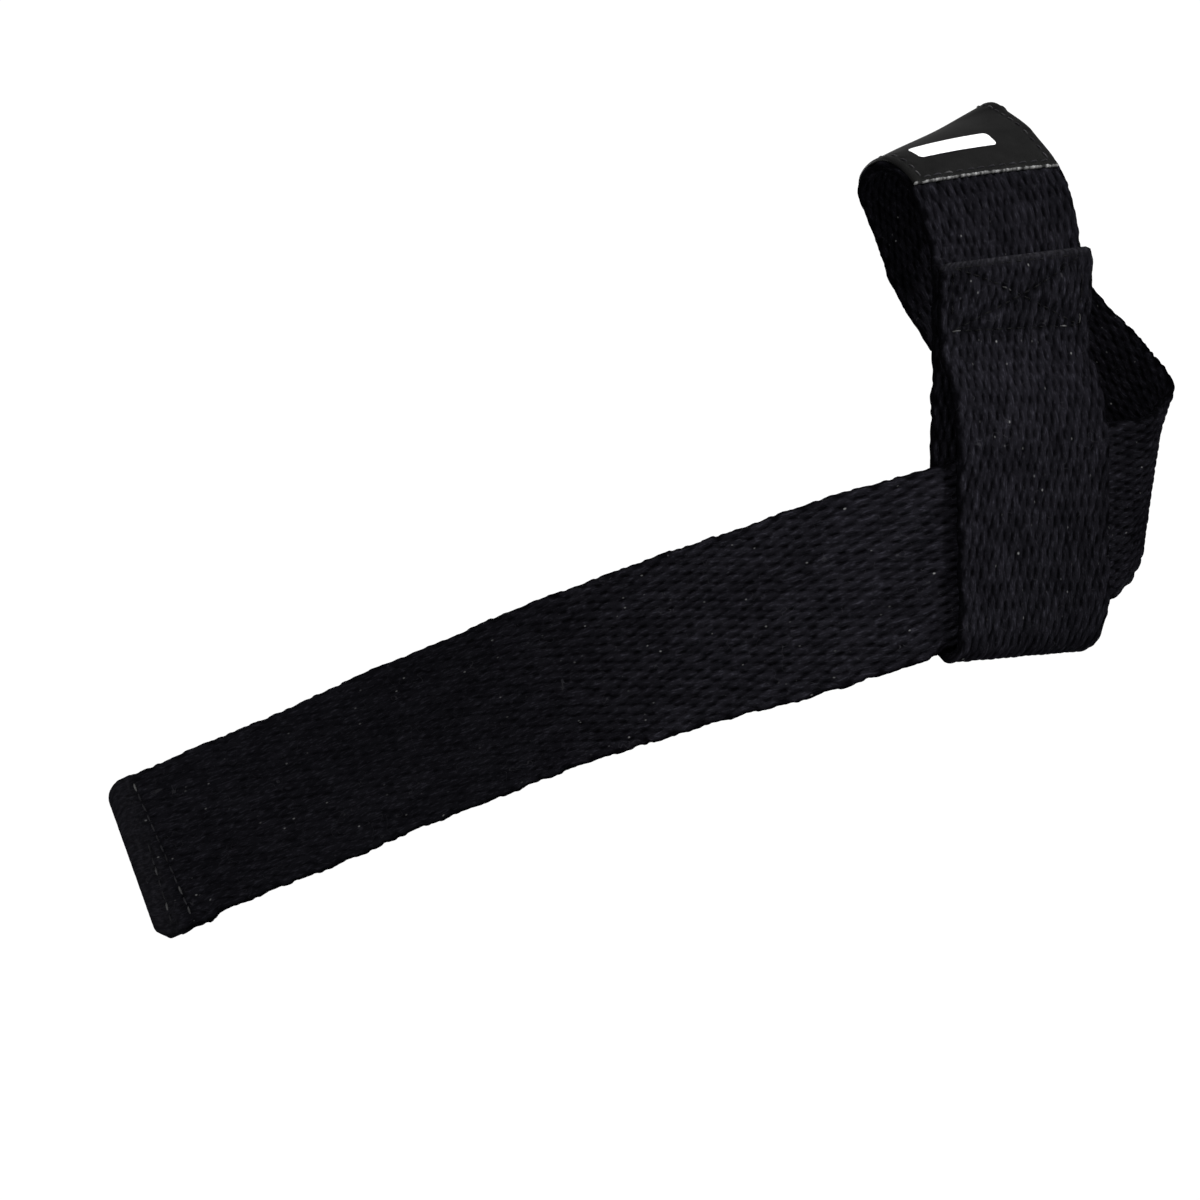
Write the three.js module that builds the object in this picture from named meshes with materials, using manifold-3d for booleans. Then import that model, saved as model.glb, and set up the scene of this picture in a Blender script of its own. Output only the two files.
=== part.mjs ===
// A lasso lifting strap as worn: one length of webbing that runs from its sewn eye up over the top, down
// the back, round the side, through the eye, and out to a hemmed free end.
// Millimetres, +Z up, +Y away from the viewer; the origin is the middle of the opening it closes round.
import * as THREE from "three";
import { mergeVertices } from "three/addons/utils/BufferGeometryUtils.js";
import Module from "manifold-3d";

const wasm = await Module();
wasm.setup();

// Sizes of the cloth
const webbingWidth = 38;
const webbingThickness = 2.2;
const selvedgeRound = 0.8;
const labelWidth = 36;
const labelThickness = 1;
const labelGap = 0.5;
const labelLength = 50;
const hemLength = 12;
const sewnSink = 0.15;
const stepLength = 3.2;
const endStep = 1.2;
const spansAcross = 6;

// The run of the webbing's middle line: a row for each place where its course changes, with the direction
// of its width, which points right on the front strand and up on the free end.
// columns: name, x, y, z, width x, width y, width z
const strapRun = [
  ["fold", -9.5, -23.0, -61.2, 0.903, 0.421, 0.06],
  ["low", -10.0, -23.7, -30.0, 0.904, 0.423, 0.07],
  ["seam", -9.9, -24.3, 1.0, 0.905, 0.424, 0.05],
  ["tab_end", -10.0, -24.6, 16.3, 0.91, 0.41, 0.065],
  ["label_end", -14.3, -22.5, 33.0, 0.92, 0.36, 0.165],
  ["shoulder", -18.8, -15.2, 40.6, 0.85, 0.42, 0.32],
  ["top", -22.0, -5.0, 43.3, 0.78, 0.44, 0.45],
  ["over", -20.7, 7.3, 40.6, 0.74, 0.36, 0.55],
  ["back_high", -15.8, 17.0, 32.2, 0.72, 0.22, 0.65],
  ["back_middle", -5.0, 21.5, 16.5, 0.7, 0.05, 0.7],
  ["back_low", 7.5, 20.3, 1.0, 0.63, -0.15, 0.76],
  ["side_back", 17.6, 14.8, -11.8, 0.4, -0.35, 0.83],
  ["side", 27.0, 3.5, -25.2, 0.04, -0.44, 0.89],
  ["side_front", 21.0, -9.0, -33.3, 0.03, -0.33, 0.93],
  ["eye_right", 8.7, -18.8, -37.4, -0.24, -0.22, 0.94],
  ["eye_middle", -7.0, -27.7, -42.0, -0.27, -0.16, 0.94],
  ["eye_left", -24.5, -35.2, -46.8, -0.285, -0.09, 0.94],
  ["crest", -38.5, -36.4, -50.8, -0.32, -0.01, 0.94],
  ["tail_near", -57.2, -27.5, -57.0, -0.33, 0.06, 0.94],
  ["tail_slope", -77.7, -13.5, -63.8, -0.34, 0.12, 0.94],
  ["tail_middle", -100.5, -2.5, -71.8, -0.36, 0.18, 0.92],
  ["tail_far", -139.5, 3.0, -87.8, -0.38, 0.27, 0.9],
  ["hem", -175.4, 4.5, -103.2, -0.38, 0.33, 0.88],
  ["tail_end", -199.5, 5.0, -113.1, -0.365, 0.35, 0.87],
];

// The front layer of the eye, from the sewn tab down to the fold: height from the seam and distance out
// from the layer behind it.
// columns: name, up, out
const eyeRun = [
  ["leaves_tab", -6, 3.6],
  ["opens", -13, 6.6],
  ["clears", -22, 8.5],
  ["front_high", -34, 8.9],
  ["front_low", -52, 8.9],
];
const foldUp = -62.2;
const foldRadius = 4.4;
const foldSteps = 6;

// How the cloth departs from a plain band: each end is cut on the slant, which fades over a length; corners
// are round; the tab is spread at one side; the fold of the eye is drawn in at one side, and so is the strap
// where it leaves the eye; the middle of the width stands up where the strap goes over the top
const tabSlant = -0.092;
const tailSlant = 0.057;
const slantReach = 30;
const tabCorner = 1.2;
const tabSpread = 0.8;
const tailHighCorner = 4.8;
const tailLowCorner = 2.5;
const foldPinch = 3;
const eyePinch = 1.8;
const pinchReach = 9;
const hemShift = -0.4;
const topCup = 1.5;
const cupReach = 24;

const vectorAt = (row, column) => new THREE.Vector3(row[column], row[column + 1], row[column + 2]);
const stations = strapRun.map((row) => ({
  name: row[0],
  place: vectorAt(row, 1),
  width: vectorAt(row, 4).normalize(),
}));
const stationNumber = (name) => stations.findIndex((station) => station.name === name);

// The slope at a station, from the chords before and after it
function slopeAt(points, chords, index) {
  const last = points.length - 1;
  if (index === 0) {
    return points[1].clone().sub(points[0]).divideScalar(chords[0]);
  }
  if (index === last) {
    return points[last].clone().sub(points[last - 1]).divideScalar(chords[last - 1]);
  }
  const before = points[index].clone().sub(points[index - 1]).divideScalar(chords[index - 1]);
  const after = points[index + 1].clone().sub(points[index]).divideScalar(chords[index]);
  const total = chords[index - 1] + chords[index];
  before.multiplyScalar(chords[index] / total);
  return before.addScaledVector(after, chords[index - 1] / total);
}

// A cubic through two stations, with their slopes
function cubicBetween(start, end, slopeStart, slopeEnd, chord, t) {
  const square = t * t;
  const cube = square * t;
  return start
    .clone()
    .multiplyScalar(2 * cube - 3 * square + 1)
    .addScaledVector(slopeStart, (cube - 2 * square + t) * chord)
    .addScaledVector(end, 3 * square - 2 * cube)
    .addScaledVector(slopeEnd, (cube - square) * chord);
}

// Frames along a list of stations: place, direction along, width direction and outward direction
function framesAlong(list) {
  const places = list.map((station) => station.place);
  const widths = list.map((station) => station.width);
  const chords = places.slice(1).map((place, index) => place.distanceTo(places[index]));
  const samples = [];
  chords.forEach((chord, index) => {
    const lastSpan = index === chords.length - 1;
    const steps = Math.max(2, Math.round(chord / (lastSpan ? endStep : stepLength)));
    const placeSlopes = [slopeAt(places, chords, index), slopeAt(places, chords, index + 1)];
    const widthSlopes = [slopeAt(widths, chords, index), slopeAt(widths, chords, index + 1)];
    for (let step = 0; step < steps + (lastSpan ? 1 : 0); step += 1) {
      const t = step / steps;
      samples.push({
        place: cubicBetween(places[index], places[index + 1], ...placeSlopes, chord, t),
        width: cubicBetween(widths[index], widths[index + 1], ...widthSlopes, chord, t),
        slant: 0,
        cutHigh: 0,
        cutLow: 0,
        cup: 0,
      });
    }
  });
  let length = 0;
  samples.forEach((sample, index) => {
    const before = samples[Math.max(0, index - 1)].place;
    const after = samples[Math.min(samples.length - 1, index + 1)].place;
    sample.along = after.clone().sub(before).normalize();
    sample.width.addScaledVector(sample.along, -sample.width.dot(sample.along)).normalize();
    sample.out = sample.width.clone().cross(sample.along);
    length += index > 0 ? sample.place.distanceTo(before) : 0;
    sample.length = length;
  });
  return samples;
}

// The section of a band of cloth: flat faces with a round selvedge at each side, as across and out
function bandSection(width, thickness, round) {
  const flatHalf = width / 2 - round;
  const faceHalf = thickness / 2;
  const across = (index) => -flatHalf + (2 * flatHalf * index) / spansAcross;
  const section = [];
  for (let index = 0; index <= spansAcross; index += 1) {
    section.push([across(index), faceHalf]);
  }
  section.push([width / 2, faceHalf / 2], [width / 2, -faceHalf / 2]);
  for (let index = spansAcross; index >= 0; index -= 1) {
    section.push([across(index), -faceHalf]);
  }
  section.push([-width / 2, -faceHalf / 2], [-width / 2, faceHalf / 2]);
  return section;
}

// A closed band that follows the frames, moved out from them and across them by distances
function sweptBand(frames, width, thickness, round, moveOut, moveAcross) {
  const section = bandSection(width, thickness, round);
  const count = section.length;
  const positions = [];
  frames.forEach((frame) => {
    section.forEach(([across, out]) => {
      const cut = across > 0 ? frame.cutHigh : frame.cutLow;
      const side = across * (1 - (2 * cut) / width) + moveAcross;
      const rise = frame.cup * (1 - ((2 * across) / webbingWidth) ** 2);
      const point = frame.place
        .clone()
        .addScaledVector(frame.width, side)
        .addScaledVector(frame.along, side * frame.slant)
        .addScaledVector(frame.out, out + moveOut + rise);
      positions.push(point.x, point.y, point.z);
    });
  });
  const triangles = [];
  for (let ring = 0; ring + 1 < frames.length; ring += 1) {
    for (let corner = 0; corner < count; corner += 1) {
      const next = (corner + 1) % count;
      const a = ring * count + corner;
      const b = ring * count + next;
      triangles.push(a, b, b + count, a, b + count, a + count);
    }
  }
  const lastRing = (frames.length - 1) * count;
  for (let corner = 1; corner + 1 < count; corner += 1) {
    triangles.push(0, corner + 1, corner);
    triangles.push(lastRing, lastRing + corner, lastRing + corner + 1);
  }
  return new wasm.Manifold(
    new wasm.Mesh({
      numProp: 3,
      vertProperties: new Float32Array(positions),
      triVerts: new Uint32Array(triangles),
    }),
  );
}

// Frames of the run between two lengths along it
const framesBetween = (frames, from, to) =>
  frames.filter((frame) => frame.length >= from && frame.length <= to);

// The frame of a list nearest to a place
const frameNearest = (frames, place) =>
  frames.reduce((best, frame) =>
    frame.place.distanceTo(place) < best.place.distanceTo(place) ? frame : best,
  );

// How much of an end's slant is left at a distance from the end
function slantLeft(distance) {
  const share = Math.min(1, distance / slantReach);
  return (1 - share) ** 2 * (1 + 2 * share);
}

// How far the round of a corner cuts into a side at a distance from the end
function cornerCut(distance, radius) {
  const inside = Math.max(0, radius - distance);
  return radius - Math.sqrt(radius ** 2 - inside ** 2);
}

// Shapes the free end and the top of a list of frames
function shapeRun(frames) {
  const total = frames[frames.length - 1].length;
  const topLength = frameNearest(frames, stations[stationNumber("top")].place).length;
  frames.forEach((frame) => {
    const distance = total - frame.length;
    frame.cup = topCup * Math.exp(-(((frame.length - topLength) / cupReach) ** 2));
    frame.slant += tailSlant * slantLeft(distance);
    frame.cutHigh += cornerCut(distance, tailHighCorner);
    frame.cutLow += cornerCut(distance, tailLowCorner);
  });
}

// The webbing: eye stations first, then the run
const runFrames = framesAlong(stations);
shapeRun(runFrames);
const seam = stations[stationNumber("seam")];
const tabEnd = stations[stationNumber("tab_end")];
const seamFrame = frameNearest(runFrames, seam.place);
const tabFrame = frameNearest(runFrames, tabEnd.place);
const sewnOut = webbingThickness;
const onTop = (frame) => ({
  place: frame.place.clone().addScaledVector(frame.out, sewnOut),
  width: frame.width.clone(),
});
const lowest = stations[stationNumber("fold")];
const eyeUp = seam.place.clone().sub(lowest.place).normalize();
const eyeWidth = seam.width.clone().addScaledVector(eyeUp, -seam.width.dot(eyeUp)).normalize();
const eyeOut = eyeWidth.clone().cross(eyeUp);
const eyeDrop = seam.place.distanceTo(lowest.place);
const eyePlace = (up, out) => ({
  place: seam.place.clone().addScaledVector(eyeUp, up).addScaledVector(eyeOut, out),
  width: seam.width.clone().lerp(lowest.width, Math.min(1, -up / eyeDrop)),
});
const tabFrames = runFrames.filter(
  (frame) => frame.length >= seamFrame.length && frame.length <= tabFrame.length,
);
const eyeStations = tabFrames.map(onTop).reverse();
eyeRun.forEach(([, up, out]) => {
  eyeStations.push(eyePlace(up, out));
});
for (let step = 0; step < foldSteps; step += 1) {
  const angle = (Math.PI * step) / foldSteps;
  const out = foldRadius * (1 + Math.cos(angle));
  eyeStations.push(eyePlace(foldUp - foldRadius * Math.sin(angle), out));
}
const strapFrames = framesAlong([...eyeStations, ...stations]);
shapeRun(strapFrames);
const foldMiddle = eyePlace(foldUp - foldRadius, foldRadius).place;
const foldLength = frameNearest(strapFrames, foldMiddle).length;
const leavesLength = frameNearest(strapFrames, stations[stationNumber("eye_left")].place).length;
const drawnIn = (distance) => Math.exp(-((distance / pinchReach) ** 2));
strapFrames.forEach((frame) => {
  frame.slant += tabSlant * slantLeft(frame.length);
  frame.cutHigh += cornerCut(frame.length, tabCorner) - tabSpread * slantLeft(frame.length);
  frame.cutLow += cornerCut(frame.length, tabCorner);
  frame.cutHigh += foldPinch * drawnIn(frame.length - foldLength);
  frame.cutLow += eyePinch * drawnIn(frame.length - leavesLength);
});
const strapBand = sweptBand(strapFrames, webbingWidth, webbingThickness, selvedgeRound, 0, 0);

// The sewing that joins the tab to the strand under it
const sewnInset = 1.5;
const sewnPlate = sweptBand(
  framesBetween(runFrames, seamFrame.length + sewnInset, tabFrame.length - sewnInset),
  webbingWidth - 2 * sewnInset,
  4 * sewnSink,
  sewnSink,
  webbingThickness / 2,
  0,
);

// The hem: the end turned under and sewn down
const runLength = runFrames[runFrames.length - 1].length;
const hemBand = sweptBand(
  framesBetween(runFrames, runLength - hemLength, runLength),
  webbingWidth,
  webbingThickness,
  selvedgeRound,
  sewnSink - webbingThickness,
  hemShift,
);
const strapSolid = strapBand.add(sewnPlate).add(hemBand);

// The label, laid over the strand from above the tab to behind the top
const labelStart = frameNearest(runFrames, stations[stationNumber("label_end")].place).length;
const labelSolid = sweptBand(
  framesBetween(runFrames, labelStart, labelStart + labelLength),
  labelWidth,
  labelThickness,
  labelThickness / 2,
  webbingThickness / 2 + labelGap + labelThickness / 2,
  0,
);

function namedMesh(name, solid, colour, roughness) {
  const mesh = solid.getMesh();
  const geometry = new THREE.BufferGeometry();
  geometry.setAttribute("position", new THREE.BufferAttribute(mesh.vertProperties, 3));
  geometry.setIndex(new THREE.BufferAttribute(mesh.triVerts, 1));
  const material = new THREE.MeshStandardMaterial({ color: colour, roughness, metalness: 0 });
  const result = new THREE.Mesh(mergeVertices(geometry), material);
  result.name = name;
  return result;
}

const liftingStrap = new THREE.Group();
liftingStrap.add(namedMesh("strap", strapSolid, 0x17171b, 0.9));
liftingStrap.add(namedMesh("label", labelSolid, 0x222222, 0.5));

export default liftingStrap;
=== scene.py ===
import math

import bpy
import numpy as np
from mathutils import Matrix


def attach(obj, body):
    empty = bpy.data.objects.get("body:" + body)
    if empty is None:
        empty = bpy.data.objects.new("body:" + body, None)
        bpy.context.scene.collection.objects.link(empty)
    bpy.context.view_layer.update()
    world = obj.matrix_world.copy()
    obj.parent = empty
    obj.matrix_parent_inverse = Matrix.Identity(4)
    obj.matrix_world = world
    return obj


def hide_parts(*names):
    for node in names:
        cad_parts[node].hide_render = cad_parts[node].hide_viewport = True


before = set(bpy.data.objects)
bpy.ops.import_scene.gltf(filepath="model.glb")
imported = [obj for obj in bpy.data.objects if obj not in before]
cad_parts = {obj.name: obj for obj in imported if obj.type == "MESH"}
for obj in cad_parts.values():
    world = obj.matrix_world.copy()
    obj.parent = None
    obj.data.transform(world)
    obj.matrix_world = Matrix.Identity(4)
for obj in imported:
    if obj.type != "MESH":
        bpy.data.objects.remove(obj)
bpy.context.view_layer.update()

MM = 0.001

# Sizes of the cloth, in millimetres
WEBBING_WIDTH = 38.0
WEBBING_THICKNESS = 2.2
HEM_LENGTH = 12.0
LABEL_WIDTH = 36.0
LABEL_THICKNESS = 0.75
LABEL_LENGTH = 50.0

# The weave: columns of long floats, each column half a float behind its neighbour
COLUMNS = 38
POINTS_PER_COLUMN = 3
FLOAT_LENGTH = 7.0
POINTS_PER_FLOAT = 12
RING_STEP = FLOAT_LENGTH / POINTS_PER_FLOAT
FLOAT_HEIGHT = 0.6
FLOAT_HALF = 0.86
FLOAT_END = 0.84
FLOAT_END_POWER = 2.4
FLOAT_DOME_POWER = 0.6
SLIT_FILL = 0.3
FLAT_WIDTH = 37.0
FLAT_LIFT = 0.76
CORE_HALF = 0.55
SELVEDGE_POINTS = 3
SELVEDGE_SWELL = 0.25
SELVEDGE_REACH = 4.0

# How far a float leans across in its own length, in columns
STRAND_LEAN = 0.1
TAIL_NEAR_LEAN = 0.35
TAIL_FAR_LEAN = -0.3
INNER_LEAN = 0.2

# How uneven the floats are: the least and the spread of their sizes, and how far they stray
LEAN_LEAST = 0.7
LEAN_SPREAD = 0.6
HALF_LEAST = 0.92
HALF_SPREAD = 0.16
LEVEL_LEAST = 0.86
LEVEL_SPREAD = 0.28
COLUMN_STRAY = 0.14
ALONG_STRAY = 0.2
ASIDE_STRAY = 0.14
DRIFT_SIZE = 0.04
DRIFT_LENGTH = 19.0
DRIFT_TURN = 1.7

# Factors of the chance numbers, and seeds that keep one use of them apart from another
CHANCE_FIRST = 127.1
CHANCE_SECOND = 311.7
CHANCE_SCALE = 43758.5453
COLUMN_SEED = 3.0
FACE_SEED = 31.0
ALONG_SEEDS = (2.0, 13.0)
ASIDE_SEEDS = (5.0, 7.0)
SLIT_SEED = 11.0
TUFT_SEED = 3.0
STITCH_LENGTH_SEED = 9.0
STITCH_TURN_SEED = 4.0
STITCH_TONE_SEED = 17.0

# Slow unevenness of the cloth, out of its plane
# columns: height, length, turn, power of the share across
SWAY_WAVES = [
    (0.22, 7.3, 0.6, 0),
    (0.16, 4.1, 2.2, 1),
    (0.2, 11.7, 1.1, 2),
]

# Unevenness of the selvedges: waves, the floats' own rhythm, a ripple of the low side, and tufts
# columns of the waves: height, length, turn by the side
EDGE_WAVES = [
    (0.14, 5.9, 1.3),
    (0.08, 2.3, 2.1),
]
EDGE_RHYTHM = 0.05
EDGE_RHYTHM_TURN = 1.6
LOW_RIPPLE = 0.07
LOW_RIPPLE_LENGTH = 1.45
TUFT_LENGTH = 1.15
TUFT_SIZE = 0.3
TUFT_MEAN = 0.6

# The run of the webbing's middle line, with the direction of its width
# columns: name, x, y, z, width x, width y, width z
STRAP_RUN = [
    ("fold", -9.5, -23.0, -61.2, 0.903, 0.421, 0.06),
    ("low", -10.0, -23.7, -30.0, 0.904, 0.423, 0.07),
    ("seam", -9.9, -24.3, 1.0, 0.905, 0.424, 0.05),
    ("tab_end", -10.0, -24.6, 16.3, 0.91, 0.41, 0.065),
    ("label_end", -14.3, -22.5, 33.0, 0.92, 0.36, 0.165),
    ("shoulder", -18.8, -15.2, 40.6, 0.85, 0.42, 0.32),
    ("top", -22.0, -5.0, 43.3, 0.78, 0.44, 0.45),
    ("over", -20.7, 7.3, 40.6, 0.74, 0.36, 0.55),
    ("back_high", -15.8, 17.0, 32.2, 0.72, 0.22, 0.65),
    ("back_middle", -5.0, 21.5, 16.5, 0.7, 0.05, 0.7),
    ("back_low", 7.5, 20.3, 1.0, 0.63, -0.15, 0.76),
    ("side_back", 17.6, 14.8, -11.8, 0.4, -0.35, 0.83),
    ("side", 27.0, 3.5, -25.2, 0.04, -0.44, 0.89),
    ("side_front", 21.0, -9.0, -33.3, 0.03, -0.33, 0.93),
    ("eye_right", 8.7, -18.8, -37.4, -0.24, -0.22, 0.94),
    ("eye_middle", -7.0, -27.7, -42.0, -0.27, -0.16, 0.94),
    ("eye_left", -24.5, -35.2, -46.8, -0.285, -0.09, 0.94),
    ("crest", -38.5, -36.4, -50.8, -0.32, -0.01, 0.94),
    ("tail_near", -57.2, -27.5, -57.0, -0.33, 0.06, 0.94),
    ("tail_slope", -77.7, -13.5, -63.8, -0.34, 0.12, 0.94),
    ("tail_middle", -100.5, -2.5, -71.8, -0.36, 0.18, 0.92),
    ("tail_far", -139.5, 3.0, -87.8, -0.38, 0.27, 0.9),
    ("hem", -175.4, 4.5, -103.2, -0.38, 0.33, 0.88),
    ("tail_end", -199.5, 5.0, -113.1, -0.365, 0.35, 0.87),
]

# The front layer of the eye: height from the seam and distance out from the layer behind it
# columns: name, up, out
EYE_RUN = [
    ("leaves_tab", -6.0, 3.6),
    ("opens", -13.0, 6.6),
    ("clears", -22.0, 8.5),
    ("front_high", -34.0, 8.9),
    ("front_low", -52.0, 8.9),
]
FOLD_UP = -62.2
FOLD_RADIUS = 4.4
FOLD_STEPS = 6
TAB_STATIONS = 11

# How the cloth departs from a plain band: slant cuts, round corners, sides drawn in, a cupped top
TAB_SLANT = -0.092
TAIL_SLANT = 0.057
SLANT_REACH = 30.0
TAB_CORNER = 1.2
TAB_SPREAD = 0.8
TAIL_HIGH_CORNER = 4.8
TAIL_LOW_CORNER = 3.2
FOLD_PINCH = 3.0
EYE_PINCH = 1.8
PINCH_REACH = 9.0
TOP_CUP = 1.5
CUP_REACH = 24.0


def unit(vectors):
    """Vectors of length one."""
    vectors = np.asarray(vectors, float)
    return vectors / np.linalg.norm(vectors, axis=-1, keepdims=True)


def chance(first, second=0.0):
    """A repeatable number from 0 to 1 for each pair of numbers."""
    return np.mod(np.sin(first * CHANCE_FIRST + second * CHANCE_SECOND) * CHANCE_SCALE, 1.0)


def stray(size, first, second):
    """A repeatable number up to half the size either way."""
    return size * (chance(first, second) - 0.5)


def smooth_step(low, high, value):
    """0 below low, 1 above high, and smooth between them."""
    share = np.clip((value - low) / (high - low), 0.0, 1.0)
    return share * share * (3.0 - 2.0 * share)


def rise_from(least, low, high, value):
    """The least below low, 1 above high, and smooth between them."""
    return least + (1.0 - least) * smooth_step(low, high, value)


def hump(distance, reach):
    """1 at no distance, falling to 0 beyond the reach."""
    return np.exp(-((distance / reach) ** 2))


def slopes(points, chords):
    """The slope at each station, from the chords before and after it."""
    steps = np.diff(points, axis=0) / chords[:, None]
    before = chords[:-1, None]
    after = chords[1:, None]
    inner = (steps[:-1] * after + steps[1:] * before) / (before + after)
    return np.vstack([steps[:1], inner, steps[-1:]])


class Course:
    """A smooth course of places and width directions, read by the length along it."""

    SPACING = 0.2
    REACH = 0.4
    LEAST_ROWS = 4

    def __init__(self, places, widths):
        places = np.asarray(places, float)
        widths = unit(widths)
        chords = np.linalg.norm(np.diff(places, axis=0), axis=1)
        counts = [max(self.LEAST_ROWS, int(math.ceil(chord / self.SPACING))) for chord in chords]
        self.places = self.filled(places, chords, counts)
        self.widths = self.filled(widths, chords, counts)
        steps = np.linalg.norm(np.diff(self.places, axis=0), axis=1)
        self.lengths = np.concatenate([[0.0], np.cumsum(steps)])
        self.stations = self.lengths[np.concatenate([[0], np.cumsum(counts)])]
        self.total = self.lengths[-1]

    @staticmethod
    def filled(values, chords, counts):
        """Rows on a cubic between each two stations."""
        rates = slopes(values, chords)
        blocks = []
        for index, (chord, count) in enumerate(zip(chords, counts)):
            t = (np.arange(count) / count)[:, None]
            blocks.append(
                values[index] * (2 * t**3 - 3 * t**2 + 1)
                + rates[index] * (t**3 - 2 * t**2 + t) * chord
                + values[index + 1] * (3 * t**2 - 2 * t**3)
                + rates[index + 1] * (t**3 - t**2) * chord
            )
        return np.vstack(blocks + [values[-1:]])

    def read(self, table, lengths):
        """A table's rows at these lengths."""
        columns = [np.interp(lengths, self.lengths, table[:, axis]) for axis in range(3)]
        return np.stack(columns, axis=-1)

    def frames(self, lengths):
        """Places, directions along, width directions and outward directions at these lengths."""
        lengths = np.asarray(lengths, float)
        ahead = self.read(self.places, np.minimum(lengths + self.REACH, self.total))
        behind = self.read(self.places, np.maximum(lengths - self.REACH, 0.0))
        along = unit(ahead - behind)
        width = self.read(self.widths, lengths)
        width = unit(width - along * np.sum(width * along, axis=-1, keepdims=True))
        return self.read(self.places, lengths), along, width, np.cross(width, along)


def whole_course():
    """The whole webbing: the sewn tab, the front of the eye, the fold, and then the run."""
    run_places = np.array([row[1:4] for row in STRAP_RUN])
    run_widths = unit([row[4:7] for row in STRAP_RUN])
    run = Course(run_places, run_widths)
    number = {row[0]: index for index, row in enumerate(STRAP_RUN)}
    tab_from = run.stations[number["tab_end"]]
    tab_to = run.stations[number["seam"]]
    place, _, width, outward = run.frames(np.linspace(tab_from, tab_to, TAB_STATIONS))
    places = list(place + outward * WEBBING_THICKNESS)
    widths = list(width)
    seam = run_places[number["seam"]]
    lowest = run_places[number["fold"]]
    seam_width = run_widths[number["seam"]]
    lowest_width = run_widths[number["fold"]]
    drop = np.linalg.norm(seam - lowest)
    up = (seam - lowest) / drop
    out = np.cross(unit(seam_width - up * (seam_width @ up)), up)
    rows = [(row[1], row[2]) for row in EYE_RUN]
    for step in range(FOLD_STEPS):
        angle = math.pi * step / FOLD_STEPS
        height = FOLD_UP - FOLD_RADIUS * math.sin(angle)
        rows.append((height, FOLD_RADIUS * (1 + math.cos(angle))))
    for height, distance in rows:
        share = min(1.0, -height / drop)
        places.append(seam + up * height + out * distance)
        widths.append(seam_width * (1 - share) + lowest_width * share)
    first = len(places)
    course = Course(np.vstack([places, run_places]), np.vstack([widths, run_widths]))
    marks = {name: course.stations[first + index] for name, index in number.items()}
    marks["tab_bottom"] = course.stations[TAB_STATIONS - 1]
    marks["fold_bottom"] = course.stations[first - FOLD_STEPS // 2]
    return course, marks


whole, marks = whole_course()


def slant_left(distance):
    """How much of an end's slant is left at a distance from the end."""
    share = np.clip(distance / SLANT_REACH, 0.0, 1.0)
    return (1 - share) ** 2 * (1 + 2 * share)


def corner_cut(distance, radius):
    """How far the round of a corner cuts into a side at a distance from the end."""
    inside = np.clip(radius - distance, 0.0, radius)
    return radius - np.sqrt(radius**2 - inside**2)


def cloth_shape(lengths):
    """Slant, cuts into the high and the low side, and cup of the cloth at these lengths."""
    from_tail = whole.total - lengths
    slant = TAB_SLANT * slant_left(lengths) + TAIL_SLANT * slant_left(from_tail)
    high = corner_cut(lengths, TAB_CORNER) - TAB_SPREAD * slant_left(lengths)
    high = high + corner_cut(from_tail, TAIL_HIGH_CORNER)
    high = high + FOLD_PINCH * hump(lengths - marks["fold_bottom"], PINCH_REACH)
    low = corner_cut(lengths, TAB_CORNER) + corner_cut(from_tail, TAIL_LOW_CORNER)
    low = low + EYE_PINCH * hump(lengths - marks["eye_left"], PINCH_REACH)
    cup = TOP_CUP * hump(lengths - marks["top"], CUP_REACH)
    return slant, high, low, cup


def lay(frames, shape, across, out):
    """Points on the cloth, a distance across it and a distance out of it."""
    place, along, width, outward = frames
    slant, high, low, cup = shape
    share = 2 * across / WEBBING_WIDTH
    side = across * (1 - np.where(across > 0, high, low) * 2 / WEBBING_WIDTH)
    rise = out + cup * (1 - share**2)
    return (
        place
        + width * side[..., None]
        + along * (slant * side)[..., None]
        + outward * rise[..., None]
    )


def on_cloth(lengths, across, out):
    """Points at a length along the whole webbing."""
    return lay(whole.frames(lengths), cloth_shape(lengths), across, out)


# Rows of stitching, as pairs of a distance across and a length along the webbing
STITCH_PITCH = 2.7
STITCH_LENGTH = 2.0
TAB_SIDE = 16.0
TAB_HIGH = 1.4
TAB_LOW_INSET = 0.4
TAB_LOW = marks["tab_bottom"] - TAB_LOW_INSET
TAB_TILT = 0.8
TAB_CORNERS = {
    "high_left": (-TAB_SIDE, TAB_HIGH),
    "high_right": (TAB_SIDE, TAB_HIGH),
    "low_left": (-TAB_SIDE, TAB_LOW + TAB_TILT),
    "low_right": (TAB_SIDE, TAB_LOW - TAB_TILT),
}
TAB_ROWS = [
    (TAB_CORNERS["high_left"], TAB_CORNERS["high_right"]),
    (TAB_CORNERS["low_left"], TAB_CORNERS["low_right"]),
    (TAB_CORNERS["high_left"], TAB_CORNERS["low_left"]),
    (TAB_CORNERS["high_right"], TAB_CORNERS["low_right"]),
    (TAB_CORNERS["high_left"], TAB_CORNERS["low_right"]),
    (TAB_CORNERS["high_right"], TAB_CORNERS["low_left"]),
]

# columns: distance across and distance from the end where a row starts, then where it ends
HEM_SEAMS = [
    (-17.4, 8.4, 16.8, 6.0),
    (-17.4, 3.6, 2.0, 4.6),
]
HEM_ROWS = [
    ((start_across, whole.total - start_back), (end_across, whole.total - end_back))
    for start_across, start_back, end_across, end_back in HEM_SEAMS
]

# How the stitching presses the cloth: its reach, its depth, and its rhythm from hole to hole
PRESS_WIDTH = 1.0
PRESS_DEPTH = 0.4
PRESS_MEAN = 0.7
PRESS_SWING = 0.3
PRESS_FLATTENS = 0.55


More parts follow.
